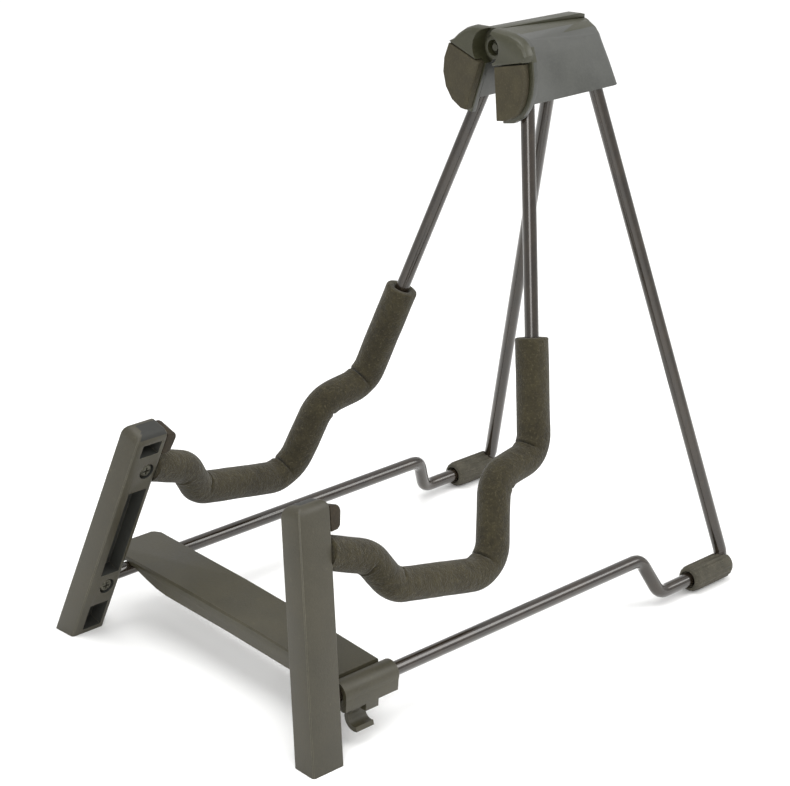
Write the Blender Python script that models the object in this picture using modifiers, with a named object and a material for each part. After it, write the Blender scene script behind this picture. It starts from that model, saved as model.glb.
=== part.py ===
"""Fold-flat stand for a small-bodied instrument.

Two mirrored side frames of bent round rod lean together under a hinged head.
Shapes are modelled in millimetres and scaled to metres when they are placed.
Right is +X, the side with the two upright stops is -Y, +Z is up.
Pieces of a side frame are modelled in the plane of that frame: X out of the plane,
Y along the rails, Z up the slope, with the origin where the plane meets the floor.
"""
import math

import bmesh
import bpy
from mathutils import Matrix, Vector

# ---- driving dimensions (mm) ----
MM = 0.001
GAP = 0.3
SPLAY = math.radians(15.64)
FOOT_X = 74.39

ROD_R = 3.0
RAIL_Z = 23.5
FOOT_Z = 6.0
RUN_Z = 231.5
ARM_RUN_Y = 43.7
LEG_RUN_Y = 82.3
HEEL_Y = 128.75
JOG = ((82.7, FOOT_Z), (73.2, RAIL_Z))
ARM_LOW = (17.0, 84.35)
CRADLE = ((-82.6, 69.4), (-72.1, 54.9), (-17.2, 44.3), (-8.0, 80.5))
ROD_ENDS = ((-113.8, 80.7), (-122.0, RAIL_Z))
BEND_R = (12, 13, 13, 11, 11, 8, 8, 6, 7, 7)

FOAM_R = 7.0
FOAM_END_Z = 130.0

STOP_W = 11.14
STOP_D = 16.4
STOP_Y = -131.9
STOP_LEAN = 0.139 * math.cos(SPLAY)
STOP_TOP = 101.8
POCKETS = ((3.6, 15.8, 4.6, 14.0), (31.2, 73.0, 4.8, 14.2), (90.6, 96.6, 4.1, 13.8))
POCKET_DEEP = 6.6
SCREWS = {"upper": (-110.1, 82.3), "lower": (-118.3, 24.5)}
SCREW_HEAD_R = 3.2
SCREW_SHANK_R = 1.5

SLEEVE_R = 6.0
SLEEVE_Y = (102.6, 129.6)
SLEEVE_RIBS = 18

HINGE_Z = 243.5
HINGE_R = 4.8
PIN_R = 1.5
PIN_PLAY = 0.08
HEAD_FRONT = 34.9
HEAD_REAR = 89.5
RIM_FRONT = 32.9
FACE_FRONT = 28.9
KNUCKLES = ((32.8, 46.0, "right"), (46.3, 76.0, "left"), (76.3, 89.0, "right"))
SOCKET_R = {"right": 6.2, "left": 8.4}
SOCKET_BACK = {"right": 32.9, "left": 36.4}

BAR_TOP = 28.4
BAR_ARCH = 1.3
BAR_WALL = 7.9
BAR_SKIN = 2.2
BAR_FRONT = (-103.0, -108.6)
BAR_REAR = (-75.9, -83.2)
BAR_TONGUE = 13.4
BARREL_Y = (-109.3, -80.4)
BARREL_R = 5.2

COLOURS = {
    "rod": (0.13, 0.11, 0.09, 0.25, 0.6),
    "foam": (0.07, 0.065, 0.045, 0.95, 0.0),
    "shell": (0.12, 0.12, 0.10, 0.5, 0.0),
    "rubber": (0.10, 0.09, 0.065, 0.8, 0.0),
    "steel": (0.45, 0.44, 0.42, 0.3, 1.0),
}

# plane of the right side frame in the world, and the shear that makes a stop lean back
PLANE = Matrix.Translation((FOOT_X, 0, 0)) @ Matrix.Rotation(-SPLAY, 4, "Y")
LEAN = Matrix(((1, 0, 0, 0), (0, 1, STOP_LEAN, STOP_Y), (0, 0, 1, 0), (0, 0, 0, 1)))
ALONG_X = Matrix(((0, 0, 1, 0), (1, 0, 0, 0), (0, 1, 0, 0), (0, 0, 0, 1)))
ALONG_Y = Matrix.Rotation(math.radians(90), 4, "X")
RAIL_X = FOOT_X - RAIL_Z * math.tan(SPLAY)


def clear_scene():
    for obj in list(bpy.data.objects):
        bpy.data.objects.remove(obj, do_unlink=True)


def new_collection(name):
    group = bpy.data.collections.new(name)
    bpy.context.scene.collection.children.link(group)
    return group


def material(name, kind):
    red, green, blue, rough, metal = COLOURS[kind]
    mat = bpy.data.materials.new(name)
    mat.use_nodes = True
    shader = mat.node_tree.nodes["Principled BSDF"]
    shader.inputs["Base Color"].default_value = (red, green, blue, 1.0)
    shader.inputs["Roughness"].default_value = rough
    shader.inputs["Metallic"].default_value = metal
    return mat


# ---- modelling helpers: each gives a bmesh in millimetres ----
def block(low, high, matrix=None):
    bm = bmesh.new()
    size = Vector(high) - Vector(low)
    middle = (Vector(high) + Vector(low)) / 2
    bmesh.ops.create_cube(bm, size=1.0, matrix=Matrix.Translation(middle) @ Matrix.Diagonal((*size, 1.0)))
    if matrix:
        bm.transform(matrix)
    return bm


def round_bar(start, stop, radius, sides=24, end_radius=None):
    bm = bmesh.new()
    start, stop = Vector(start), Vector(stop)
    run = stop - start
    turn = run.to_track_quat("Z", "Y").to_matrix().to_4x4()
    bmesh.ops.create_cone(bm, cap_ends=True, segments=sides, radius1=radius, radius2=end_radius or radius,
                          depth=run.length, matrix=Matrix.Translation((start + stop) / 2) @ turn)
    return bm


def solid_of(data, matrix, tools):
    """A curve as a closed mesh with its caps welded."""
    obj = bpy.data.objects.new("curve", data)
    tools.objects.link(obj)
    obj.matrix_world = matrix
    bpy.context.view_layer.update()
    graph = bpy.context.evaluated_depsgraph_get()
    mesh = bpy.data.meshes.new_from_object(obj.evaluated_get(graph))
    bm = bmesh.new()
    bm.from_mesh(mesh)
    bm.transform(obj.matrix_world)
    bmesh.ops.remove_doubles(bm, verts=bm.verts, dist=0.0001)
    bmesh.ops.recalc_face_normals(bm, faces=bm.faces)
    bpy.data.objects.remove(obj, do_unlink=True)
    return bm


def wire(points, radius, tools, sides=12, tapers=None):
    """Round tube along (y, v) points of the frame plane; tapers scales the radius of single points."""
    data = bpy.data.curves.new("wire", "CURVE")
    data.dimensions = "3D"
    data.bevel_depth = radius
    data.bevel_resolution = (sides - 4) // 2
    data.use_fill_caps = True
    spline = data.splines.new("POLY")
    spline.points.add(len(points) - 1)
    for k, (y, v) in enumerate(points):
        spline.points[k].co = (0, y, v, 1)
    for k, size in (tapers or {}).items():
        spline.points[k].radius = size
    return solid_of(data, Matrix.Identity(4), tools)


def plate(outline, low, high, axis, tools):
    """Flat outline given thickness from low to high along ALONG_X or ALONG_Y."""
    data = bpy.data.curves.new("plate", "CURVE")
    data.dimensions = "2D"
    data.fill_mode = "BOTH"
    data.extrude = (high - low) / 2
    spline = data.splines.new("POLY")
    spline.points.add(len(outline) - 1)
    for k, (a, b) in enumerate(outline):
        spline.points[k].co = (a, b, 0, 1)
    spline.use_cyclic_u = True
    middle = (low + high) / 2
    offset = (middle, 0, 0) if axis is ALONG_X else (0, middle, 0)
    bm = solid_of(data, Matrix.Translation(offset) @ axis, tools)
    bmesh.ops.dissolve_limit(bm, angle_limit=0.001, verts=bm.verts, edges=bm.edges)
    return bm


def turned(profile, steps, matrix, tools):
    """Profile of (radius, height) points run round Z by a Screw modifier."""
    mesh = bpy.data.meshes.new("profile")
    edges = [(k, k + 1) for k in range(len(profile) - 1)]
    mesh.from_pydata([(radius, 0, height) for radius, height in profile], edges, [])
    obj = bpy.data.objects.new("profile", mesh)
    tools.objects.link(obj)
    screw = obj.modifiers.new("screw", "SCREW")
    screw.steps = steps
    screw.render_steps = steps
    screw.use_merge_vertices = True
    screw.merge_threshold = 0.0001
    bpy.context.view_layer.update()
    graph = bpy.context.evaluated_depsgraph_get()
    made = bpy.data.meshes.new_from_object(obj.evaluated_get(graph))
    bm = bmesh.new()
    bm.from_mesh(made)
    bmesh.ops.remove_doubles(bm, verts=bm.verts, dist=0.0001)
    bmesh.ops.recalc_face_normals(bm, faces=bm.faces)
    bm.transform(matrix)
    bpy.data.objects.remove(obj, do_unlink=True)
    return bm


def ease(bm, chosen, offset, segments=3):
    """Rounds the edges whose two ends both pass the test."""
    edges = []
    for edge in bm.edges:
        if chosen(edge.verts[0].co) and chosen(edge.verts[1].co) and edge.calc_face_angle(0) > 0.4:
            edges.append(edge)
    bmesh.ops.bevel(bm, geom=edges, offset=offset, offset_type="OFFSET", segments=segments, affect="EDGES",
                    profile=0.5, material=-1, clamp_overlap=True)
    return bm


def loft(sections):
    """Skin between unlike sections of equal count; the ends are capped."""
    bm = bmesh.new()
    rings = [[bm.verts.new(point) for point in section] for section in sections]
    count = len(rings[0])
    for a, b in zip(rings, rings[1:]):
        for i in range(count):
            j = (i + 1) % count
            bm.faces.new((a[i], a[j], b[j], b[i]))
    bm.faces.new(rings[0])
    bm.faces.new(reversed(rings[-1]))
    bmesh.ops.recalc_face_normals(bm, faces=bm.faces)
    return bm


def new_object(bm, name, group):
    mesh = bpy.data.meshes.new(name)
    bmesh.ops.recalc_face_normals(bm, faces=bm.faces)
    bm.to_mesh(mesh)
    bm.free()
    obj = bpy.data.objects.new(name, mesh)
    group.objects.link(obj)
    return obj


def combine(obj, shapes, operation, tools):
    """Exact Boolean of the object with each shape in turn."""
    for shape in shapes:
        tool = new_object(shape, obj.name + "_cutter", tools)
        tool.display_type = "WIRE"
        tool.hide_render = True
        step = obj.modifiers.new("step", "BOOLEAN")
        step.solver = "EXACT"
        step.operation = operation
        step.object = tool
        graph = bpy.context.evaluated_depsgraph_get()
        mesh = bpy.data.meshes.new_from_object(obj.evaluated_get(graph))
        obj.modifiers.remove(step)
        obj.data = mesh
        bpy.data.objects.remove(tool, do_unlink=True)


def settle(obj, side, axis, origin=(0, 0, 0), tilt=0.0, smooth=35):
    """Mirrors a left piece, takes it to metres and hangs it from the empty on its joint's axis."""
    bm = bmesh.new()
    bm.from_mesh(obj.data)
    bmesh.ops.remove_doubles(bm, verts=bm.verts, dist=0.001)
    if not tilt:
        bmesh.ops.translate(bm, verts=bm.verts, vec=-Vector(origin))
    if side < 0:
        bmesh.ops.scale(bm, verts=bm.verts, vec=(-1, 1, 1))
        bmesh.ops.reverse_faces(bm, faces=bm.faces)
    bmesh.ops.scale(bm, verts=bm.verts, vec=(MM, MM, MM))
    bm.to_mesh(obj.data)
    bm.free()
    obj.data.shade_smooth()
    obj.data.set_sharp_from_angle(angle=math.radians(smooth))
    obj.parent = axis
    place = Vector((side * origin[0], origin[1], origin[2])) * MM
    obj.location = place - axis.location
    obj.rotation_euler = (0, -side * tilt, 0)
    return obj


def in_plane(obj, side, axis, smooth=35):
    return settle(obj, side, axis, (FOOT_X, 0, 0), SPLAY, smooth)


def pivot(name, location, group):
    axis = bpy.data.objects.new(name, None)
    axis.empty_display_size = 0.02
    axis.location = Vector(location) * MM
    group.objects.link(axis)
    return axis


# ---- line of the bent rod ----
def slope(z):
    """Distance up the slope of a point of the plane at height z."""
    return z / math.cos(SPLAY)


def rounded(corners, radii, steps=5):
    """Corner points with round bends put in."""
    line = [Vector(corners[0])]
    for k, radius in enumerate(radii):
        here = Vector(corners[k + 1])
        back = (Vector(corners[k]) - here).normalized()
        ahead = (Vector(corners[k + 2]) - here).normalized()
        half = back.angle(ahead) / 2
        centre = here + (back + ahead).normalized() * (radius / math.sin(half))
        start = here + back * (radius / math.tan(half)) - centre
        stop = here + ahead * (radius / math.tan(half)) - centre
        turn = start.angle_signed(stop)
        for i in range(steps + 1):
            line.append(centre + Matrix.Rotation(-turn * i / steps, 2) @ start)
    line.append(Vector(corners[-1]))
    return line


def rod_line():
    corners = [ROD_ENDS[0], *CRADLE, ARM_LOW, (ARM_RUN_Y, RUN_Z), (LEG_RUN_Y, RUN_Z), (HEEL_Y, FOOT_Z), *JOG,
               ROD_ENDS[1]]
    return rounded([(y, slope(z)) for y, z in corners], BEND_R)


def foam_line():
    share = (FOAM_END_Z - ARM_LOW[1]) / (RUN_Z - ARM_LOW[1])
    top = (ARM_LOW[0] + share * (ARM_RUN_Y - ARM_LOW[0]), FOAM_END_Z)
    line = rounded([(y, slope(z)) for y, z in (ROD_ENDS[0], *CRADLE, ARM_LOW, top)], BEND_R[:5])
    run = (line[-1] - line[-2]).normalized()
    return line[:-1] + [line[-1] - run * 1.2, line[-1]]


# ---- pieces of one side frame ----
def wire_frame(name, side, axis, group, tools):
    obj = new_object(wire(rod_line(), ROD_R, tools, 14), name, group)
    holes = [round_bar((-8, y, v), (8, y, v), SCREW_SHANK_R + GAP, 16) for y, v in SCREWS.values()]
    combine(obj, holes, "DIFFERENCE", tools)
    return in_plane(obj, side, axis, 50)


def foam_sleeve(name, side, axis, group, tools):
    line = foam_line()
    obj = new_object(wire(line, FOAM_R, tools, 18, {len(line) - 1: 0.86}), name, group)
    run = (line[-1] - line[-2]).normalized()
    bore = wire(line[:-1] + [line[-1] + run * 4], ROD_R + GAP, tools, 16)
    behind = block((-20, STOP_D + GAP, -40), (20, STOP_D + GAP - 60, 180), LEAN)
    combine(obj, [behind, bore], "DIFFERENCE", tools)
    return in_plane(obj, side, axis, 40)


def stop_body():
    """Leaning bar; its top is closed in steps that round it over."""
    half = Vector((STOP_W / 2, STOP_D / 2))
    levels = ((STOP_TOP - 4.2, 0.0), (STOP_TOP - 2.4, 0.35), (STOP_TOP - 1.1, 1.15), (STOP_TOP - 0.3, 2.3),
              (STOP_TOP, 3.8))
    bm = block((-half.x, 0, -6), (half.x, STOP_D, levels[0][0]))
    upright = [e for e in bm.edges if abs(e.verts[0].co.z - e.verts[1].co.z) > 50]
    bmesh.ops.bevel(bm, geom=upright, offset=1.2, offset_type="OFFSET", segments=3, affect="EDGES", profile=0.5,
                    material=-1)
    top = max(bm.faces, key=lambda face: face.calc_center_median().z)
    was = Vector((1.0, 1.0))
    for level, inset in levels[1:]:
        rise = level - top.calc_center_median().z
        now = Vector(((half.x - inset * 0.9) / half.x, (half.y - inset) / half.y))
        made = bmesh.ops.extrude_discrete_faces(bm, faces=[top])
        top = made["faces"][0]
        bmesh.ops.translate(bm, verts=top.verts, vec=(0, 0, rise))
        bmesh.ops.scale(bm, verts=top.verts, vec=(now.x / was.x, now.y / was.y, 1),
                        space=Matrix.Translation((0, -half.y, 0)))
        was = now
    bm.transform(LEAN)
    return bm


def front_leg(name, side, axis, group, tools):
    obj = new_object(stop_body(), name, group)
    inner = -STOP_W / 2
    ground = block((-60, STOP_Y - 60, -60), (FOOT_X + 60, STOP_Y + 60, 0))
    ground.transform(PLANE.inverted())
    cuts = [ground]
    for v0, v1, front, back in POCKETS:
        cuts.append(block((inner - 2, front, v0), (inner + POCKET_DEEP, back, v1), LEAN))
    line = rod_line()
    cuts.append(wire(line[:5], ROD_R + GAP, tools, 20))
    cuts.append(wire(line[-5:], ROD_R + GAP, tools, 20))
    for y, v in SCREWS.values():
        cuts.append(round_bar((inner - 2, y, v), (inner + 2.2, y, v), SCREW_HEAD_R + 0.45))
        cuts.append(round_bar((inner, y, v), (4.2, y, v), SCREW_SHANK_R + GAP, 16))
    combine(obj, cuts, "DIFFERENCE", tools)
    return in_plane(obj, side, axis, 32)


def screw(name, side, axis, group, tools, y, v):
    """Pan head with a cross slot on a plain shank."""
    inner = -STOP_W / 2
    r = SCREW_HEAD_R
    profile = ((0, 0.3), (r - 1.2, 0.35), (r - 0.5, 0.6), (r, 1.3), (r, 1.9), (SCREW_SHANK_R, 1.9),
               (SCREW_SHANK_R, 9.3), (0, 9.3))
    seat = Matrix.Translation((inner, y, v)) @ Matrix.Rotation(math.radians(90), 4, "Y")
    obj = new_object(turned(profile, 20, seat, tools), name, group)
    slots = [block((inner - 1, y - 1.7, v - 0.4), (inner + 1.3, y + 1.7, v + 0.4)),
             block((inner - 1, y - 0.4, v - 1.7), (inner + 1.3, y + 0.4, v + 1.7))]
    combine(obj, slots, "DIFFERENCE", tools)
    return in_plane(obj, side, axis, 32)


def lip_pad(name, side, axis, group, tools):
    """Soft wedge behind the top of the upright stop."""
    half = STOP_W / 2 - 0.5
    outline = []
    for v, thick in ((88.5, 0.0), (88.5, 3.6), (89.6, 5.0), (95.4, 5.6), (97.2, 4.9), (98.4, 3.2), (98.4, 0.0)):
        outline.append((STOP_D + GAP + thick + STOP_Y + STOP_LEAN * min(v, 97.4), v))
    bm = plate(outline, -half, half, ALONG_X, tools)
    rear = STOP_Y + STOP_D + GAP + 3.0
    ease(bm, lambda co: co.y > rear + STOP_LEAN * co.z, 0.7, 2)
    return in_plane(new_object(bm, name, group), side, axis, 30)


def rear_foot(name, side, axis, group, tools):
    """Ribbed rubber sleeve over the heel of the rod."""
    y0, y1 = SLEEVE_Y
    r = SLEEVE_R
    profile = ((0, 0.0), (r * 0.62, 0.0), (r * 0.84, 0.6), (r * 0.97, 1.8), (r, 3.4), (r, y1 - y0 - 2.4),
               (r * 0.84, y1 - y0 - 0.5), (r * 0.66, y1 - y0), (0, y1 - y0))
    middle = PLANE @ Vector((0, 0, slope(FOOT_Z)))
    seat = Matrix.Translation((middle.x, y0, r)) @ Matrix.Rotation(math.radians(-90), 4, "X")
    bm = turned(profile, SLEEVE_RIBS * 2, seat, tools)
    for vert in bm.verts:
        arm = Vector((vert.co.x - middle.x, vert.co.z - r))
        turn = math.atan2(arm.y, arm.x) / math.radians(180 / SLEEVE_RIBS)
        if arm.length > r * 0.9 and round(turn) % 2:
            vert.co.x -= arm.x / arm.length * 0.45
            vert.co.z -= arm.y / arm.length * 0.45
    bmesh.ops.rotate(bm, verts=bm.verts, cent=(middle.x, 0, r),
                     matrix=Matrix.Rotation(math.radians(90 / SLEEVE_RIBS), 3, "Y"))
    obj = new_object(bm, name, group)
    heel = [p for p in rod_line() if p.y < 40 and p.x > 78]
    bore = wire(heel, ROD_R + GAP, tools, 20)
    bore.transform(PLANE)
    mouth = round_bar((middle.x, y0 - 2, FOOT_Z), (middle.x, y0 + 1.6, FOOT_Z), 4.4, 24, 3.8)
    combine(obj, [bore, mouth], "DIFFERENCE", tools)
    return settle(obj, side, axis, (middle.x, (y0 + y1) / 2, r), smooth=50)


# ---- head: inner and outer outlines of a half, low to high ----
INNER_LOW = {"right": -7.0, "left": -4.2}
OUTER = {
    "right": {"front": ((20.6, 223.6), (21.3, 233.5), (20.8, 241.2), (18.8, 246.4), (15.6, 249.4), (11.0, 250.8),
                        (0.5, 251.2)),
              "rear": ((20.8, 223.7), (15.4, 232.9), (10.6, 241.0), (9.0, 243.8), (6.6, 246.2), (3.4, 247.8),
                       (0.5, 248.4))},
    "left": {"front": ((20.4, 223.6), (20.8, 232.0), (19.2, 239.6), (16.3, 244.4), (13.2, 247.4), (9.4, 249.6),
                       (0.5, 250.9)),
             "rear": ((20.4, 223.9), (15.4, 232.9), (11.6, 241.0), (10.8, 244.6), (9.6, 247.6), (7.4, 249.7),
                      (0.5, 250.4))},
}
CHIN = {
    "right": ((-1.0, 223.0), (4.4, 225.0), (8.6, 228.8), (11.8, 234.0), (13.6, 240.0), (14.3, 247.0)),
    "left": ((-1.0, 222.6), (5.4, 223.6), (10.8, 227.2), (14.6, 232.6), (16.2, 238.6), (15.6, 244.6)),
}
CROWN = {
    "right": ((19.4, 247.6), (16.0, 250.2), (11.0, 251.4), (0.6, 251.5)),
    "left": ((19.2, 243.4), (16.7, 246.0), (13.4, 248.4), (9.4, 250.2), (0.6, 251.3)),
}
FACE = {
    "right": ((-1.4, 224.6), (3.6, 226.4), (7.4, 230.0), (10.2, 234.9), (11.7, 240.4), (12.2, 246.9)),
    "left": ((-1.0, 224.2), (4.8, 225.3), (9.8, 228.8), (13.3, 234.0), (14.8, 239.8), (14.5, 246.9)),
}
BROW = {
    "right": ((21.2, 244.8), (19.4, 248.0), (16.0, 250.4), (11.0, 251.6), (0.7, 251.8)),
    "left": ((20.3, 243.9), (17.5, 246.9), (14.1, 249.5), (9.9, 251.2), (0.7, 251.9)),
}
FACE_TOP = {"right": 247.4, "left": 247.4}


def upright(w, v):
    """(x, z) of a point of the frame plane."""
    point = PLANE @ Vector((w, 0, v))
    return point.x, point.z


def head_body(key):
    """The half narrows to the rear, so its sections differ."""
    outline = OUTER[key]
    sections = []
    for share in (0.0, 0.25, 0.5, 0.75, 0.955, 1.0):
        chamfer = 0.7 if share == 1.0 else 0.0
        y = HEAD_FRONT + (HEAD_REAR - HEAD_FRONT) * share
        section = []
        for i, (a, b) in enumerate(zip(outline["front"], outline["rear"])):
            x = a[0] + (b[0] - a[0]) * share - chamfer * (i < 6)
            z = a[1] + (b[1] - a[1]) * share - chamfer * (i > 1)
            section.append(Vector((x, y, z)))
        for x, z in ((0.5, HINGE_Z), upright(-4.2, 247.0), upright(INNER_LOW[key], 230.0)):
            section.append(Vector((x, y, z)))
        sections.append(section)
    return loft(sections)


def brow(key):
    """Round nose above the bumper, drawn in towards the front."""
    edge = 13.8 if key == "right" else 15.6
    base = [upright(edge, FACE_TOP[key]), *BROW[key], (0.7, HINGE_Z), upright(-4.0, FACE_TOP[key])]
    sections = []
    for y, size in ((33.4, 1.0), (31.4, 0.985), (30.0, 0.95), (29.2, 0.88), (FACE_FRONT, 0.76)):
        section = []
        for x, z in base:
            up = max(z - 241.5, 0.0)
            section.append(Vector((0.7 + (x - 0.7) * (0.55 + 0.45 * size), y, z - up * (1 - size) * 1.6)))
        sections.append(section)
    return loft(sections)


def head_shell(name, side, axis, group, tools):
    key = "right" if side > 0 else "left"
    obj = new_object(head_body(key), name, group)
    flange = [upright(INNER_LOW[key] + 0.1, 223.2)] + [upright(w, v) for w, v in CHIN[key]] + list(CROWN[key])
    flange += [(0.6, HINGE_Z), upright(-4.1, 247.1)]
    rim = plate(flange, RIM_FRONT, HEAD_FRONT + 0.6, ALONG_Y, tools)
    ease(rim, lambda co: co.y < RIM_FRONT + 0.1 and co.x > 3, 0.45, 2)
    combine(obj, [rim, brow(key)], "UNION", tools)
    takes = []
    for y0, y1, owner in KNUCKLES:
        if owner != key:
            front = 20 if y0 < 40 else y0 - GAP
            takes.append(round_bar((0, front, HINGE_Z), (0, y1 + GAP, HINGE_Z), HINGE_R + GAP, 28))
    takes.append(round_bar((0, 20, HINGE_Z), (0, SOCKET_BACK[key], HINGE_Z), SOCKET_R[key], 28))
    combine(obj, takes, "DIFFERENCE", tools)
    mine = [(y0, y1) for y0, y1, owner in KNUCKLES if owner == key]
    barrels = [round_bar((0, y0, HINGE_Z), (0, y1, HINGE_Z), HINGE_R, 28) for y0, y1 in mine]
    combine(obj, barrels, "UNION", tools)
    line = rod_line()
    high = [k for k, p in enumerate(line) if p.y > slope(200)]
    arm = line[high[0]] + (line[high[0] - 1] - line[high[0]]).normalized() * 20
    leg = line[high[-1]] + (line[high[-1] + 1] - line[high[-1]]).normalized() * 20
    hoop = [arm] + [line[k] for k in high] + [leg]
    socket = wire(hoop, ROD_R + GAP, tools, 20)
    socket.transform(PLANE)
    drills = [round_bar((0, 20, HINGE_Z), (0, 95, HINGE_Z), PIN_R + PIN_PLAY, 24), socket]
    if key == "right":
        drills.append(round_bar((0, 20, HINGE_Z), (0, 36.0, HINGE_Z), 3.4, 24))
    combine(obj, drills, "DIFFERENCE", tools)
    return settle(obj, side, axis, (0, axis.location.y / MM, HINGE_Z), smooth=32)


def head_bumper(name, side, axis, group, tools):
    """D-shaped rubber buffer on the front of a half."""
    key = "right" if side > 0 else "left"
    low = INNER_LOW[key] + 0.4
    top = FACE[key][-1][1]
    outline = [(low, 224.9), *FACE[key], (-3.7, top)]
    bm = plate([upright(w, v) for w, v in outline], FACE_FRONT - 0.1, RIM_FRONT - GAP, ALONG_Y, tools)
    ease(bm, lambda co: co.y < FACE_FRONT, 0.4, 2)
    return settle(new_object(bm, name, group), side, axis, (0, axis.location.y / MM, HINGE_Z), smooth=25)


def hinge_pin(name, axis, group):
    bm = round_bar((0, 33.6, HINGE_Z), (0, 88.4, HINGE_Z), PIN_R)
    return settle(new_object(bm, name, group), 1, axis, (0, axis.location.y / MM, HINGE_Z))


# ---- crossbar ----
def rail_arc(x):
    """Lowest height the tray may reach at x, so that the left rail swings in below it."""
    reach = math.hypot(RAIL_X, HINGE_Z - RAIL_Z)
    return HINGE_Z - math.sqrt(reach * reach - x * x) + ROD_R + 0.7


def bar_body():
    """Arched tray; its two walls shorten over the arc of the left rail, so its sections differ."""
    stations = (-RAIL_X - BAR_TONGUE, -RAIL_X - BAR_TONGUE + 0.8, -RAIL_X - BAR_TONGUE + 3.2, -RAIL_X - 6.0,
                -RAIL_X + 3.0, -RAIL_X + 8.0, -RAIL_X + 14.0, -RAIL_X + 20.0, -RAIL_X + 27.0, -20.0, 0.0, 20.0,
                RAIL_X - 32.0, RAIL_X - 22.0, RAIL_X - 14.0, RAIL_X - 9.0, RAIL_X - 4.2)
    sections = []
    for x in stations:
        arch = BAR_ARCH * (1 - (x / RAIL_X) ** 2) if abs(x) < RAIL_X else 0.0
        top = BAR_TOP + arch
        skin = top - BAR_SKIN
        foot = top - BAR_WALL
        if x < RAIL_X - 12:
            foot = min(max(foot, rail_arc(x)), skin - 0.3)
        if x < -RAIL_X + 4:
            foot = skin - 0.3
        share = (x + RAIL_X) / (2 * RAIL_X)
        y0 = BAR_FRONT[0] + (BAR_FRONT[1] - BAR_FRONT[0]) * share
        y1 = BAR_REAR[0] + (BAR_REAR[1] - BAR_REAR[0]) * share
        corner = max(0.0, 3.2 - (x + RAIL_X + BAR_TONGUE))
        y0 += corner * corner * 0.3
        y1 -= corner * corner * 0.3
        section = ((y0, foot), (y0, top - 0.7), (y0 + 0.7, top), (y1 - 0.7, top), (y1, top - 0.7), (y1, foot),
                   (y1 - 1.9, foot), (y1 - 1.9, skin), (y0 + 1.9, skin), (y0 + 1.9, foot))
        sections.append([Vector((x, y, z)) for y, z in section])
    return loft(sections)


def hook_outline(x, z):
    """Open hook that keeps the folded rails together."""
    outer = []
    inner = []
    for i in range(9):
        turn = math.radians(150 + i * 140 / 8)
        outer.append((x + 5.4 * math.cos(turn), z + 5.4 * math.sin(turn)))
        inner.append((x + 3.4 * math.cos(turn), z + 3.4 * math.sin(turn)))
    return outer + inner[::-1]


def crossbar(name, axis, group, tools):
    obj = new_object(bar_body(), name, group)
    y0, y1 = BARREL_Y
    x, z = RAIL_X, RAIL_Z
    barrel = round_bar((x, y0, z), (x, y1, z), BARREL_R, 32)
    skirt = plate([(x + 5.15, z - 1.0), (x + 5.0, z - 6.2), (x + 3.2, z - 6.8), (x - 2.0, z - 4.6), (x - 1.0, z)],
                  y0 + 0.2, y1 - 0.2, ALONG_Y, tools)
    stem = plate([(x - 2.6, z - 3.6), (x + 3.2, z - 4.4), (x + 2.4, z - 8.8), (x - 0.6, z - 10.6), (x - 2.2, z - 9.4)],
                 y0 + 6.0, y0 + 15.6, ALONG_Y, tools)
    hook = plate(hook_outline(x + 3.8, z - 11.6), y0 + 6.0, y0 + 15.6, ALONG_Y, tools)
    rib = plate([(x + 1.6, z - 5.0), (x + 4.9, z - 5.0), (x + 4.9, z - 9.5), (x + 1.6, z - 9.5)], y0 + 11.4, y0 + 18.2,
                ALONG_Y, tools)
    combine(obj, [barrel, skirt, stem, hook, rib], "UNION", tools)
    way = plate([(-x - 3.45, z), (-x - 3.45, z - 9.0), (-x + 9.0, z - 9.0), (-x + 9.0, z + 1.2), (-x + 3.4, z + 2.7)],
                -140, -60, ALONG_Y, tools)
    bores = [round_bar((x, -140, z), (x, -60, z), ROD_R + 0.25, 28),
             round_bar((-x, -140, z), (-x, -60, z), ROD_R + 0.45, 28), way]
    combine(obj, bores, "DIFFERENCE", tools)
    return settle(obj, 1, axis, (x, axis.location.y / MM, z), smooth=32)


def main():
    clear_scene()
    group = new_collection("instrument_stand")
    tools = new_collection("cutters")
    bar_axis = pivot("crossbar_axis", (RAIL_X, -96, RAIL_Z), group)
    made = []
    for side, key in ((1, "right"), (-1, "left")):
        axis = pivot(key + "_fold_axis", (0, 60, HINGE_Z), group)
        made.append((wire_frame(key + "_wire_frame", side, axis, group, tools), "rod"))
        made.append((foam_sleeve(key + "_foam_sleeve", side, axis, group, tools), "foam"))
        made.append((front_leg(key + "_front_leg", side, axis, group, tools), "shell"))
        made.append((lip_pad(key + "_lip_pad", side, axis, group, tools), "rubber"))
        made.append((rear_foot(key + "_rear_foot", side, axis, group, tools), "rubber"))
        made.append((head_shell(key + "_head_shell", side, axis, group, tools), "shell"))
        made.append((head_bumper(key + "_head_bumper", side, axis, group, tools), "rubber"))
        for level, spot in SCREWS.items():
            made.append((screw(key + "_" + level + "_screw", side, axis, group, tools, *spot), "steel"))
        if side > 0:
            made.append((hinge_pin("hinge_pin", axis, group), "steel"))
    made.append((crossbar("crossbar", bar_axis, group, tools), "shell"))
    for obj, kind in made:
        obj.data.materials.clear()
        obj.data.materials.append(material(obj.name, kind))
    bpy.context.view_layer.update()


main()
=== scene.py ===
import math
import bmesh
import bpy
from mathutils import Matrix, Vector, noise


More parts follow.
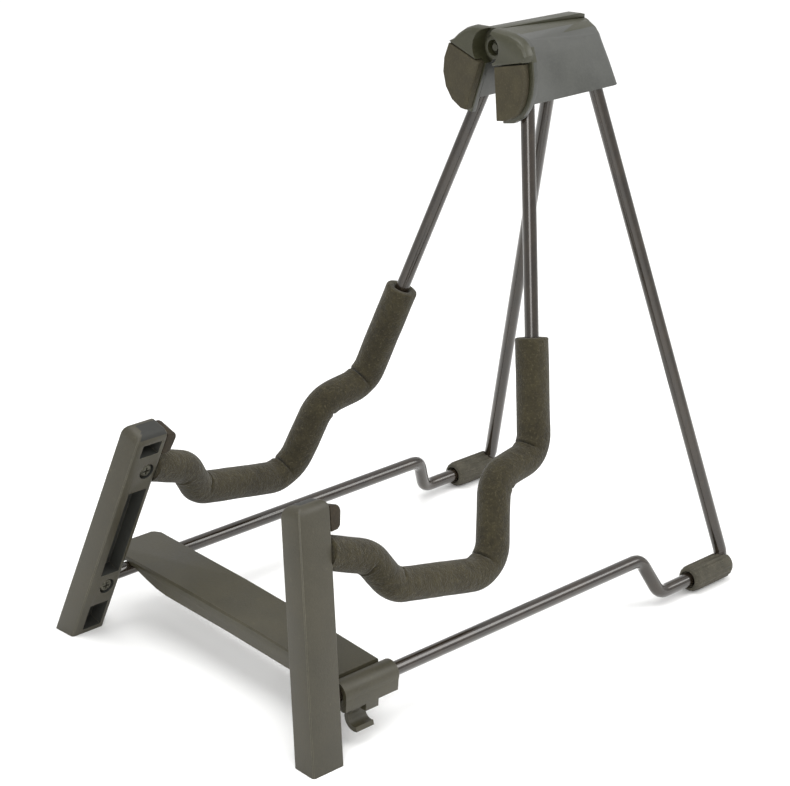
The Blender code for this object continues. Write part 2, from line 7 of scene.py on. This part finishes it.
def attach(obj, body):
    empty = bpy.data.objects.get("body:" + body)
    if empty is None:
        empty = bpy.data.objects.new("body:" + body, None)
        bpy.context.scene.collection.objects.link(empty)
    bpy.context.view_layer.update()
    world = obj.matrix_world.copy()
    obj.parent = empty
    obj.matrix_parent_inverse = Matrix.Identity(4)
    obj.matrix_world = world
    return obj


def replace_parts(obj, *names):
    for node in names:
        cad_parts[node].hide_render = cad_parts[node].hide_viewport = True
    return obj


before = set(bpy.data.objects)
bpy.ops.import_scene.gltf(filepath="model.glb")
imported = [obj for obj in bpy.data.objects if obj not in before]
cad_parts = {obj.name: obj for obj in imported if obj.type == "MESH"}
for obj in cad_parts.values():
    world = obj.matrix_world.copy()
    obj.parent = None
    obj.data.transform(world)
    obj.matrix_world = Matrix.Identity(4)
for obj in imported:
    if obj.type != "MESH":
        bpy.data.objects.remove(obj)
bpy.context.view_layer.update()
mm = 0.001

# camera: where it looks from, in degrees and metres; roll tilts it slightly
shot = {"azimuth": 44.09, "elevation": 22.35, "roll": 2.78, "distance": 1.19025,
        "target": (-0.1189, 0.1075, 0.0329), "lens": 109.73}


def placeCamera():
    az, el, roll = (math.radians(shot[key]) for key in ("azimuth", "elevation", "roll"))
    back = Vector((math.sin(az) * math.cos(el), -math.cos(az) * math.cos(el), math.sin(el)))
    right = Vector((math.cos(az), math.sin(az), 0.0))
    up = back.cross(right)
    turned = right * math.cos(roll) + up * math.sin(roll)
    upright = up * math.cos(roll) - right * math.sin(roll)
    spot = Vector(shot["target"]) + back * shot["distance"]
    camera = bpy.data.cameras.new("camera")
    camera.lens = shot["lens"]
    camera.sensor_width = 36.0
    holder = bpy.data.objects.new("camera", camera)
    bpy.context.collection.objects.link(holder)
    holder.matrix_world = Matrix((
        (turned.x, upright.x, back.x, spot.x), (turned.y, upright.y, back.y, spot.y),
        (turned.z, upright.z, back.z, spot.z), (0, 0, 0, 1)))
    bpy.context.scene.camera = holder


placeCamera()
print("camera placed")


# a socket that can be added and multiplied
class Link:
    def __init__(self, paint, socket):
        self.paint = paint
        self.socket = socket

    def maths(self, operation, first, second):
        return self.paint.node("ShaderNodeMath", {"operation": operation}, {0: first, 1: second})

    def __add__(self, other):
        return self.maths("ADD", self, other)

    def __radd__(self, other):
        return self.maths("ADD", other, self)

    def __mul__(self, other):
        return self.maths("MULTIPLY", self, other)

    def __rmul__(self, other):
        return self.maths("MULTIPLY", other, self)


class Paint:
    def __init__(self, name):
        self.material = bpy.data.materials.new(name)
        self.material.use_nodes = True
        self.tree = self.material.node_tree
        self.shader = self.tree.nodes["Principled BSDF"]
        self.place = self.node("ShaderNodeTexCoord", output="Object")

    def fill(self, socket, value):
        if isinstance(value, Link):
            self.tree.links.new(value.socket, socket)
        elif socket.type == "RGBA" and len(value) == 3:
            socket.default_value = (*value, 1.0)
        else:
            socket.default_value = value

    def node(self, kind, settings=None, sockets=None, output=0):
        made = self.tree.nodes.new(kind)
        for key, value in (settings or {}).items():
            setattr(made, key, value)
        for key, value in (sockets or {}).items():
            self.fill(made.inputs[key], value)
        return Link(self, made.outputs[output])

    def grain(self, size, detail=3.0, roughness=0.55, place=None):
        # size is the width of one speck in metres
        return self.node("ShaderNodeTexNoise", None,
                         {"Vector": place or self.place, "Scale": 1.0 / size, "Detail": detail,
                          "Roughness": roughness})

    def spread(self, value, low, high):
        # low to high becomes 0 to 1, and what is past them is cut off
        return self.node("ShaderNodeMapRange", None, {"Value": value, "From Min": low, "From Max": high})

    def blend(self, factor, first, second):
        # the Mix node's colour sockets are inputs 6 and 7 and output 2
        return self.node("ShaderNodeMix", {"data_type": "RGBA"}, {0: factor, 6: first, 7: second}, 2)

    def bump(self, height, depth, strength):
        return self.node("ShaderNodeBump", None, {"Height": height, "Distance": depth, "Strength": strength})

    def set(self, **values):
        names = {"colour": "Base Color", "rough": "Roughness", "metal": "Metallic", "normal": "Normal",
                 "coat": "Coat Weight", "coatRough": "Coat Roughness", "sheen": "Sheen Weight",
                 "sheenRough": "Sheen Roughness", "specular": "Specular IOR Level"}
        for key, value in values.items():
            self.fill(self.shader.inputs[names[key]], value)
        return self.material


def tint(*screen):
    # screen colour, 0 to 255, to the linear colour that a shader wants
    shares = [c / 255 for c in screen]
    return tuple(c / 12.92 if c <= 0.04045 else ((c + 0.055) / 1.055) ** 2.4 for c in shares)


# moulded plastic: a fine spark-eroded grain, faint cloudy colour, a few scuffs
# base and light are its colour, rub is worn places, grain and depth are the pebble's width and height in metres
plastics = {
    "stopPlastic": {"base": (48, 45, 32), "light": (62, 58, 44), "rub": (112, 107, 88), "rough": 0.5,
                    "grain": 0.00034, "depth": 0.00007},
    # lighter colour for the stop's eased edges: a painted highlight
    "stopEdgePaintedHighlight": {"base": (78, 76, 61), "light": (108, 104, 87), "rub": (150, 146, 128), "rough": 0.4,
                 "grain": 0.00034, "depth": 0.00003},
    # a stop's recesses take this darker colour, a painted shade for the shadow inside them
    "stopPocketPaintedShade": {"base": (28, 29, 25), "light": (39, 39, 34), "rub": (60, 60, 52), "rough": 0.6,
                   "grain": 0.0003, "depth": 0.00005},
    "barPlastic": {"base": (48, 45, 31), "light": (64, 60, 44), "rub": (112, 105, 84), "rough": 0.5,
                   "grain": 0.00036, "depth": 0.00008},
    # lighter colour for the crossbar's eased edges: a painted highlight
    "barEdgePaintedHighlight": {"base": (64, 61, 47), "light": (88, 84, 68), "rub": (140, 134, 114), "rough": 0.4,
                "grain": 0.00036, "depth": 0.00004},
    # the head's grey side colour is a painted lit side and its olive front colour a painted shaded side: one
    # plastic, coloured by how light falls on it
    "headPlasticPaintedLit": {"base": (56, 57, 53), "light": (70, 71, 66), "rub": (112, 112, 104), "rough": 0.36,
                    "grain": 0.00024, "depth": 0.00003},
    "headFrontPaintedShade": {"base": (44, 44, 28), "light": (56, 55, 38), "rub": (100, 97, 76), "rough": 0.42,
                  "grain": 0.00026, "depth": 0.00004},
    # lighter colour for the head's eased edges: a painted highlight
    "headEdgePaintedHighlight": {"base": (88, 87, 76), "light": (118, 117, 106), "rub": (160, 158, 146), "rough": 0.3,
                 "grain": 0.00026, "depth": 0.00002},
}


plasticMarks = {"cloudSize": 0.018, "speckSize": 0.0011, "scuffSize": 0.004, "unevenRough": 0.06}


def mouldedPlastic(name):
    look, marks = plastics[name], plasticMarks
    paint = Paint(name)
    clouds = paint.spread(paint.grain(marks["cloudSize"], 4.0), 0.35, 0.68)
    specks = paint.spread(paint.grain(marks["speckSize"], 3.0, 0.65), 0.4, 0.66)
    scuffs = paint.spread(paint.grain(marks["scuffSize"], 8.0, 0.75), 0.6, 0.72)
    colour = paint.blend(clouds * 0.5 + specks * 0.4, tint(*look["base"]), tint(*look["light"]))
    colour = paint.blend(scuffs * 0.22, colour, tint(*look["rub"]))
    fine = paint.grain(look["grain"], 2.0)
    pebble = paint.node("ShaderNodeTexVoronoi", {"feature": "SMOOTH_F1"},
                        {"Vector": paint.place, "Scale": 0.55 / look["grain"], "Smoothness": 0.6})
    height = fine * 0.6 + pebble * 0.5
    uneven = marks["unevenRough"]
    rough = clouds * uneven + specks * uneven + scuffs * 0.08 + (look["rough"] - uneven)
    return paint.set(colour=colour, rough=rough, normal=paint.bump(height, look["depth"], 0.8), specular=0.5)


# closed-cell foam: open pits at its skin, mottled, with pale flecks; sizes in metres
foamLook = {"dark": (38, 34, 22), "mid": (60, 55, 38), "pale": (98, 91, 69), "cell": 0.0006,
            "mottleSize": 0.0028, "broadSize": 0.02, "fleckSize": 0.0009, "pitDepth": 0.00026}


def cellFoam():
    paint = Paint("cellFoam")
    cells = paint.node("ShaderNodeTexVoronoi", {"feature": "F1"},
                       {"Vector": paint.place, "Scale": 1.0 / foamLook["cell"], "Randomness": 1.0})
    pits = paint.spread(cells, 0.15, 0.75)
    mottle = paint.spread(paint.grain(foamLook["mottleSize"], 5.0, 0.62), 0.36, 0.66)
    broad = paint.spread(paint.grain(foamLook["broadSize"], 3.0), 0.35, 0.68)
    colour = paint.blend(mottle * 0.5 + broad * 0.4, tint(*foamLook["dark"]), tint(*foamLook["mid"]))
    flecks = paint.spread(paint.grain(foamLook["fleckSize"], 3.0, 0.7), 0.56, 0.7)
    colour = paint.blend(flecks * 0.45, colour, tint(*foamLook["pale"]))
    height = pits * 0.5 + mottle * 0.9
    return paint.set(colour=colour, rough=mottle * 0.1 + 0.84, sheen=0.12, sheenRough=0.5, specular=0.2,
                     normal=paint.bump(height, foamLook["pitDepth"], 1.0))


# dark lacquer over drawn steel: long streaks, small chips, a slight orange peel; sizes in metres
rodLook = {"dark": (26, 21, 15), "light": (54, 45, 33), "chip": (120, 106, 86), "stretch": (60.0, 9.0, 9.0),
           "streakSize": 1.0 / 22.0, "cloudSize": 0.012, "chipSize": 0.0016, "peelSize": 0.0011,
           "peelDepth": 0.00003}


def lacqueredRod():
    look = rodLook
    paint = Paint("lacqueredRod")
    drawn = paint.node("ShaderNodeMapping", None, {"Vector": paint.place, "Scale": look["stretch"]})
    streaks = paint.spread(paint.grain(look["streakSize"], 4.0, 0.6, drawn), 0.3, 0.72)
    clouds = paint.spread(paint.grain(look["cloudSize"], 3.0), 0.35, 0.68)
    chips = paint.spread(paint.grain(look["chipSize"], 6.0, 0.7), 0.69, 0.74)
    colour = paint.blend(streaks * 0.5 + clouds * 0.4, tint(*look["dark"]), tint(*look["light"]))
    colour = paint.blend(chips * 0.35, colour, tint(*look["chip"]))
    peel = paint.grain(look["peelSize"], 2.0)
    return paint.set(colour=colour, rough=streaks * 0.08 + chips * 0.25 + 0.2, metal=0.3, coat=0.7,
                     coatRough=0.1, normal=paint.bump(peel, look["peelDepth"], 0.7))


# soft rubber: a dull bloom and dust
rubbers = {
    "padRubber": {"base": (36, 29, 18), "light": (50, 42, 28), "rub": (88, 78, 58), "rough": 0.74},
    "bumperRubber": {"base": (50, 45, 29), "light": (65, 60, 42), "rub": (102, 93, 70), "rough": 0.7},
    "footRubber": {"base": (54, 51, 40), "light": (78, 74, 62), "rub": (126, 121, 106), "rough": 0.62},
}


rubberMarks = {"bloomSize": 0.006, "dustSize": 0.0009, "skinSize": 0.0005, "skinDepth": 0.0001}


def softRubber(name):
    look, marks = rubbers[name], rubberMarks
    paint = Paint(name)
    bloom = paint.spread(paint.grain(marks["bloomSize"], 5.0, 0.6), 0.36, 0.68)
    dust = paint.spread(paint.grain(marks["dustSize"], 4.0, 0.7), 0.54, 0.7)
    colour = paint.blend(bloom * 0.7, tint(*look["base"]), tint(*look["light"]))
    colour = paint.blend(dust * 0.3, colour, tint(*look["rub"]))
    height = paint.grain(marks["skinSize"], 3.0) + dust * 0.6
    return paint.set(colour=colour, rough=bloom * 0.08 + dust * 0.06 + look["rough"],
                     normal=paint.bump(height, marks["skinDepth"], 0.8), specular=0.35)


# dark oxide on steel, rubbed bright in places
screwLook = {"base": (58, 58, 48), "light": (92, 90, 78), "worn": (184, 182, 170),
             "patchSize": 0.0009, "wornSize": 0.0005, "patchDepth": 0.00004}


def oxideScrew():
    look = screwLook
    paint = Paint("oxideScrew")
    patches = paint.spread(paint.grain(look["patchSize"], 4.0, 0.6), 0.34, 0.7)
    worn = paint.spread(paint.grain(look["wornSize"], 5.0, 0.7), 0.58, 0.66)
    colour = paint.blend(patches, tint(*look["base"]), tint(*look["light"]))
    colour = paint.blend(worn * 0.5, colour, tint(*look["worn"]))
    return paint.set(colour=colour, rough=patches * 0.15 + 0.28, metal=0.75,
                     normal=paint.bump(patches, look["patchDepth"], 0.6))


finishes = {name: mouldedPlastic(name) for name in plastics}
finishes.update({name: softRubber(name) for name in rubbers})
finishes.update({"cellFoam": cellFoam(), "lacqueredRod": lacqueredRod(), "oxideScrew": oxideScrew()})
print("finishes mixed:", len(finishes))

# the plane of one side frame, in millimetres: lean from upright, and where it meets the floor
sideFrame = {"lean": math.radians(15.64), "footX": 74.39}


def onFrame(w, y, v, side):
    # w out of the frame's plane, y along it, v up its slope
    lean = sideFrame["lean"]
    x = sideFrame["footX"] - v * math.sin(lean) + w * math.cos(lean)
    z = v * math.cos(lean) + w * math.sin(lean)
    return Vector((side * x, y, z)) * mm


def atHeight(y, z, side):
    return onFrame(0.0, y, z / math.cos(sideFrame["lean"]), side)


def linkPiece(shape, name, coats, body, crease=45):
    # a finished shape becomes a visible piece that rides on its body
    bmesh.ops.recalc_face_normals(shape, faces=shape.faces)
    mesh = bpy.data.meshes.new(name)
    shape.to_mesh(mesh)
    shape.free()
    mesh.shade_smooth()
    mesh.set_sharp_from_angle(angle=math.radians(crease))
    for coat in coats:
        mesh.materials.append(finishes[coat])
    piece = bpy.data.objects.new(name, mesh)
    bpy.context.collection.objects.link(piece)
    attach(piece, body)
    return piece


def bends(corners, radii):
    # straight runs, each with the round bend that follows it
    parts = []
    here = corners[0]
    for k, radius in enumerate(radii):
        corner = corners[k + 1]
        back = (corners[k] - corner).normalized()
        ahead = (corners[k + 2] - corner).normalized()
        half = back.angle(ahead) / 2
        reach = radius / math.tan(half)
        centre = corner + (back + ahead).normalized() * (radius / math.sin(half))
        parts.append({"start": here, "end": corner + back * reach, "centre": centre,
                      "axis": ahead.cross(back).normalized(), "angle": math.pi - 2 * half})
        here = corner + ahead * reach
    parts.append({"start": here, "end": corners[-1], "centre": None})
    return parts


def newest(geometry):
    # the points and edges of the ring that an extrusion or a spin has just made
    points = [g for g in geometry if isinstance(g, bmesh.types.BMVert)]
    ring = set(points)
    edges = [g for g in geometry if isinstance(g, bmesh.types.BMEdge) and set(g.verts) <= ring]
    return points, edges


def sweep(shape, parts, radius, sides, step):
    # a ring is pushed along the straights and spun round the bends; gives back its two end rings
    run = (parts[0]["end"] - parts[0]["start"]).normalized()
    turn = run.to_track_quat("Z", "Y").to_matrix().to_4x4()
    ring = bmesh.ops.create_circle(shape, segments=sides, radius=radius,
                                   matrix=Matrix.Translation(parts[0]["start"]) @ turn)["verts"]
    edges = list({e for v in ring for e in v.link_edges})
    firstEdges = edges
    for part in parts:
        along = part["end"] - part["start"]
        pieces = max(1, round(along.length / step))
        for _ in range(pieces):
            points, edges = newest(bmesh.ops.extrude_edge_only(shape, edges=edges)["geom"])
            bmesh.ops.translate(shape, verts=points, vec=along / pieces)
        if part["centre"]:
            arc = part["angle"] * (part["end"] - part["centre"]).length
            made = bmesh.ops.spin(shape, geom=edges, cent=part["centre"], axis=part["axis"], angle=part["angle"],
                                  steps=max(4, round(arc / step)), use_duplicate=False)
            edges = newest(made["geom_last"])[1]
    return firstEdges, edges


# bent rod of a side frame: corner points (y, z) from the stop's upper screw round to the lower one
rod = {"radius": 3.0, "corners": ((-113.8, 80.7), (-82.6, 69.4), (-72.1, 54.9), (-17.2, 44.3), (-8.0, 80.5),
                                  (17.0, 84.35), (43.7, 231.5), (82.3, 231.5), (128.75, 6.0), (82.7, 6.0),
                                  (73.2, 23.5), (-122.0, 23.5)),
       "radii": (12, 13, 13, 11, 11, 8, 8, 6, 7, 7), "sides": 32, "step": 2.4}


def makeRod(side, key):
    corners = [atHeight(y, z, side) for y, z in rod["corners"]]
    shape = bmesh.new()
    rims = sweep(shape, bends(corners, [r * mm for r in rod["radii"]]), rod["radius"] * mm, rod["sides"],
                 rod["step"] * mm)
    for rim in rims:
        bmesh.ops.holes_fill(shape, edges=rim, sides=0)
    piece = linkPiece(shape, key + "_rod", ["lacqueredRod"], key + "_side", 50)
    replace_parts(piece, key + "_wire_frame")


# foam sleeve; the stop's rear face, which it butts against, leans by stopLean from stopRear at the floor;
# frontShare is how far it runs from the first bend to the screw, fill how much of its solid it fills,
# and driftNoise the scale and shift of the noise that drifts its skin, for X, Y and Z
foam = {"radius": 7.0, "bore": 3.35, "endZ": 130.0, "frontShare": 0.72, "stopRear": -115.15, "stopLean": 0.1338,
        "sides": 56, "step": 0.9, "boreStep": 2.7, "skinSink": 0.9, "boreSink": 1.0, "fill": 0.9,
        "drift": 0.16, "driftNoise": ((90, 0), (90, 7), (140, 0)),
        "endRoll": ((6.8, 0.35), (6.3, 0.08), (5.2, 0.0), (4.2, 0.05), (3.7, 0.4))}

# the fold on the inside of a bend: depth, width, swell and wander in millimetres, pastBend in radians,
# reach in sleeve radii; wanderScale is how fast the fold wanders, per metre
pinch = {"depth": 1.9, "width": 0.8, "swell": 0.4, "wander": 0.8, "wanderScale": 260, "pastBend": 0.2,
         "reach": 1.5, "fade": 1.3}


def foamParts(side):
    points = list(rod["corners"][:7])
    low, high = points[5], points[6]
    share = (foam["endZ"] - low[1]) / (high[1] - low[1])
    points[6] = (low[0] + (high[0] - low[0]) * share, foam["endZ"])
    points[0] = tuple(near + (far - near) * foam["frontShare"] for near, far in zip(points[1], points[0]))
    return bends([atHeight(y, z, side) for y, z in points], [r * mm for r in rod["radii"][:5]])


def creaseBend(shape, bend, side):
    # where the sleeve is squeezed round the inside of a bend it swells and folds
    start = bend["end"] - bend["centre"]
    size = start.length
    wide = foam["radius"] * mm
    total = bend["angle"] * size / mm
    for v in shape.verts:
        arm = v.co - bend["centre"]
        flat = arm - bend["axis"] * arm.dot(bend["axis"])
        if not 1e-6 < flat.length < size + wide:
            continue
        angle = math.atan2(bend["axis"].dot(start.cross(flat)), start.dot(flat))
        near = -pinch["pastBend"] < angle < bend["angle"] + pinch["pastBend"]
        if not near or arm.length > size + wide * pinch["reach"]:
            continue
        inside = min(1.0, max(0.0, (size - flat.length) / wide))
        along = angle * size / mm
        wander = pinch["wander"] * noise.noise(v.co * pinch["wanderScale"] + Vector((0, 0, side)))
        dip = math.exp(-((along - total / 2 - wander) / pinch["width"]) ** 2)
        swell = math.sin(math.pi * min(max(angle / bend["angle"], 0), 1)) * pinch["swell"]
        out = (v.co - bend["centre"] - flat.normalized() * size).normalized()
        v.co += out * (swell - dip * pinch["depth"]) * inside ** pinch["fade"] * mm


def rollEnd(shape, edges, bore, middle, out, planeSpot, planeNormal):
    # the sleeve's end turns in to the bore, flat against what it butts on
    def settle(points, radius, sink):
        for v in points:
            arm = v.co - middle
            spot = middle + (arm - out * arm.dot(out)).normalized() * radius * mm
            reach = (planeSpot - spot).dot(planeNormal) / out.dot(planeNormal)
            v.co = spot + out * (reach - sink * mm)
    settle({v for e in edges for v in e.verts}, foam["radius"], foam["skinSink"])
    for radius, sink in foam["endRoll"]:
        points, edges = newest(bmesh.ops.extrude_edge_only(shape, edges=edges)["geom"])
        settle(points, radius, sink)
    settle({v for e in bore for v in e.verts}, foam["bore"], foam["boreSink"])
    bmesh.ops.bridge_loops(shape, edges=edges + bore)


def makeFoam(side, key):
    parts = foamParts(side)
    shape = bmesh.new()
    front, top = sweep(shape, parts, foam["radius"] * mm, foam["sides"], foam["step"] * mm)
    for bend in parts[:-1]:
        creaseBend(shape, bend, side)
    for v in shape.verts:
        drift = Vector([noise.noise(v.co * scale + Vector((shift, 0, 0))) for scale, shift in foam["driftNoise"]])
        v.co += drift * foam["drift"] * mm
    boreFront, boreTop = sweep(shape, parts, foam["bore"] * mm, foam["sides"], foam["boreStep"] * mm)
    start, end = parts[0], parts[-1]
    out = (start["start"] - start["end"]).normalized()
    rear = onFrame(0, foam["stopRear"], 0, side)
    face = (onFrame(1, foam["stopRear"], 0, side) - rear).cross(
        onFrame(0, foam["stopRear"] + foam["stopLean"], 1, side) - rear).normalized()
    rollEnd(shape, front, boreFront, start["start"], out, rear, face)
    out = (end["end"] - end["start"]).normalized()
    rollEnd(shape, top, boreTop, end["end"], out, end["end"], out)
    piece = linkPiece(shape, key + "_foam", ["cellFoam"], key + "_side", 60)
    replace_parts(piece, key + "_foam_sleeve")


for side, key in ((1, "right"), (-1, "left")):
    makeRod(side, key)
    makeFoam(side, key)
print("rods and sleeves made")

# hard pieces take their solid's shape; their edges are eased and catch the light, and on the stops, the crossbar
# and the head the eased faces take a lighter colour, a painted highlight
eased = {
    "front_leg": {"coats": ["stopPlastic", "stopEdgePaintedHighlight", "stopPocketPaintedShade"], "slot": "shell", "width": 0.4},
    "lip_pad": {"coats": ["padRubber"], "slot": "pad", "width": 0.5},
    "upper_screw": {"coats": ["oxideScrew"], "slot": "screw", "width": 0.12},
    "lower_screw": {"coats": ["oxideScrew"], "slot": "screw", "width": 0.12},
    "rear_foot": {"coats": ["footRubber"], "slot": "foot_rubber", "width": 0.18},
    "head_shell": {"coats": ["headPlasticPaintedLit", "headEdgePaintedHighlight", "headFrontPaintedShade"], "slot": "head", "width": 0.35},
    "head_bumper": {"coats": ["bumperRubber"], "slot": "pad", "width": 0.35},
    "crossbar": {"coats": ["barPlastic", "barEdgePaintedHighlight"], "slot": "shell", "width": 0.4},
}
flatAngle, edgeAngle = math.radians(1.0), math.radians(28)


def easeEdges(node, look):
    shape = bmesh.new()
    shape.from_mesh(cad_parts[node].data)
    bmesh.ops.remove_doubles(shape, verts=shape.verts, dist=0.00001)
    bmesh.ops.dissolve_limit(shape, angle_limit=flatAngle, verts=shape.verts, edges=shape.edges)
    sharp = [e for e in shape.edges if len(e.link_faces) == 2 and e.calc_face_angle(0) > edgeAngle]
    made = bmesh.ops.bevel(shape, geom=sharp, offset=look["width"] * mm, offset_type="OFFSET", affect="EDGES",
                           segments=3, profile=0.5, material=-1, clamp_overlap=True)
    # the bevel faces take the piece's second, lighter colour: a painted highlight along its edges
    if len(look["coats"]) > 1:
        for face in made["faces"]:
            face.material_index = 1
    return shape


def offFrame(point, side):
    # back to (w, y, v), in millimetres
    lean = sideFrame["lean"]
    x = side * point.x / mm - sideFrame["footX"]
    z = point.z / mm
    return x * math.cos(lean) + z * math.sin(lean), point.y / mm, z * math.cos(lean) - x * math.sin(lean)


# where painted shade goes, in millimetres: a stop's recesses, by w and by the way back from its front face,
# and the front of the head with its knuckles; both take a darker colour that stands in for the shade falling
# there
recess = {"w": (-5.2, 1.6), "back": (3.2, 15.0), "stopDepth": 16.75}
headFace = {"rearY": 34.2, "hingeZ": 243.5, "knuckle": 9.0}


# faces inside a stop's recesses take the darker pocket colour: painted shade
def paintPocketShade(shape, side):
    for face in shape.faces:
        w, y, v = offFrame(face.calc_center_median(), side)
        back = y - foam["stopRear"] + recess["stopDepth"] - foam["stopLean"] * v
        inside = recess["w"][0] < w < recess["w"][1] and recess["back"][0] < back < recess["back"][1]
        if inside and face.material_index == 0:
            face.material_index = 2


# faces at the front of the head and round its knuckles take the darker front colour: painted shade
def paintFrontShade(shape):
    for face in shape.faces:
        middle = face.calc_center_median() / mm
        knuckle = math.hypot(middle.x, middle.z - headFace["hingeZ"]) < headFace["knuckle"]
        if (middle.y < headFace["rearY"] or knuckle) and face.material_index == 0:
            face.material_index = 2


def makeEased(node, part, body, side):
    look = eased[part]
    shape = easeEdges(node, look)
    if part == "front_leg":
        paintPocketShade(shape, side)
    if part == "head_shell":
        paintFrontShade(shape)
    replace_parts(linkPiece(shape, node + "_eased", look["coats"], body), node)


for side, key in ((1, "right"), (-1, "left")):
    for part in eased:
        if part != "crossbar":
            makeEased(key + "_" + part, part, key + "_side", side)
makeEased("crossbar", "crossbar", "crossbar", 1)
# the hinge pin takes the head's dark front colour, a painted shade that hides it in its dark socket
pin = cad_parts["hinge_pin"]
pin.data.materials.clear()
pin.data.materials.append(finishes["headFrontPaintedShade"])
print("hard pieces eased")

# floor and lights; each lamp has its name, its place, where it aims, its size in metres and its power
studio = {"floor": (250, 250, 249), "floorLight": (253, 253, 252), "reach": 6.0, "paperSize": 0.05, "world": 0.8,
          "lamps": (("overhead", (0.0, -0.2, 1.4), (0, 0, 0.1), 1.0, 12.0),
                    ("rightRear", (0.9, 0.95, 1.05), (0, 0, 0.2), 0.8, 9.0),
                    ("frontRight", (0.9, -1.1, 0.8), (0, 0, 0.12), 0.7, 8.0))}


def setStudio():
    floor = bpy.data.meshes.new("floor")
    shape = bmesh.new()
    bmesh.ops.create_grid(shape, x_segments=1, y_segments=1, size=studio["reach"])
    shape.to_mesh(floor)
    shape.free()
    ground = bpy.data.objects.new("floor", floor)
    bpy.context.collection.objects.link(ground)
    paint = Paint("floorPaper")
    paper = paint.spread(paint.grain(studio["paperSize"], 2.0), 0.3, 0.7)
    colour = paint.blend(paper, tint(*studio["floor"]), tint(*studio["floorLight"]))
    floor.materials.append(paint.set(colour=colour, rough=0.9))
    world = bpy.data.worlds.new("studio")
    world.use_nodes = True
    world.node_tree.nodes["Background"].inputs["Color"].default_value = (1, 1, 1, 1)
    world.node_tree.nodes["Background"].inputs["Strength"].default_value = studio["world"]
    bpy.context.scene.world = world
    for name, spot, aim, size, power in studio["lamps"]:
        lamp = bpy.data.lights.new(name, "AREA")
        lamp.size = size
        lamp.energy = power
        holder = bpy.data.objects.new(name, lamp)
        bpy.context.collection.objects.link(holder)
        holder.location = spot
        holder.rotation_euler = (Vector(aim) - Vector(spot)).to_track_quat("-Z", "Y").to_euler()
    bpy.context.scene.view_settings.view_transform = "Standard"


setStudio()
print("studio set")
